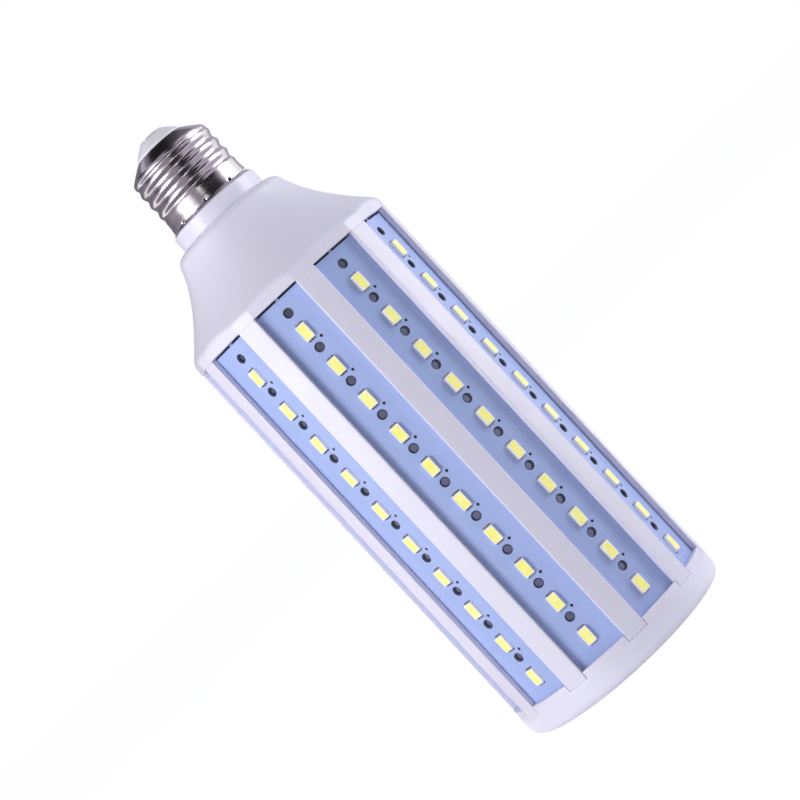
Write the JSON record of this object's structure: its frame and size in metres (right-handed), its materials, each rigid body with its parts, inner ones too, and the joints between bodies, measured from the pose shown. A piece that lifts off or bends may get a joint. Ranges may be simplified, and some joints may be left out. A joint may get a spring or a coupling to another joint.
{
  "type": "corn led bulb",
  "caption": "Tall round LED bulb: light strips with vent holes held in grooves between white ribs, a flared neck with a screw base at one end and a round cap at the other.",
  "frame": {"origin": "centre of the end cap's outer face, on the bulb's axis", "axes": "+Z along the bulb's axis from the end cap to the screw base, -Y out through the middle of the first light strip"},
  "size_m": [0.0684, 0.0684, 0.1926],
  "materials": {
    "white_plastic": "semi-gloss",
    "strip_board": "satin",
    "led": "satin",
    "nickel": "polished",
    "insulator": "satin",
    "contact": "satin",
    "driver_board": "satin",
    "link": "satin",
    "capacitor_sleeve": "semi-gloss",
    "choke": "matt",
    "resistor": "semi-gloss",
    "film_capacitor": "semi-gloss",
    "chip": "matt",
    "live_lead": "satin",
    "neutral_lead": "satin"
  },
  "bodies": {
    "root": {"end_cap": "white_plastic", "housing": "white_plastic", "end_disc": "strip_board", "end_disc_leds": "led", "screw_shell": "nickel", "contact_insulator": "insulator", "centre_contact": "contact", "driver_board": "driver_board", "strip_links": "link", "bulk_capacitor": "capacitor_sleeve", "choke": "choke", "fuse_resistor": "resistor", "film_capacitor": "film_capacitor", "bridge_rectifier": "chip", "driver_chip": "chip", "live_lead": "live_lead", "neutral_lead": "neutral_lead", "feed_leads": "live_lead", "end_board_leads": "live_lead", "strip_01": "strip_board", "strip_02": "strip_board", "strip_03": "strip_board", "strip_04": "strip_board", "strip_05": "strip_board", "strip_06": "strip_board", "strip_07": "strip_board", "strip_08": "strip_board", "strip_09": "strip_board", "strip_10": "strip_board", "strip_leds_01": "led", "strip_leds_02": "led", "strip_leds_03": "led", "strip_leds_04": "led", "strip_leds_05": "led", "strip_leds_06": "led", "strip_leds_07": "led", "strip_leds_08": "led", "strip_leds_09": "led", "strip_leds_10": "led"}
  },
  "joints": []
}
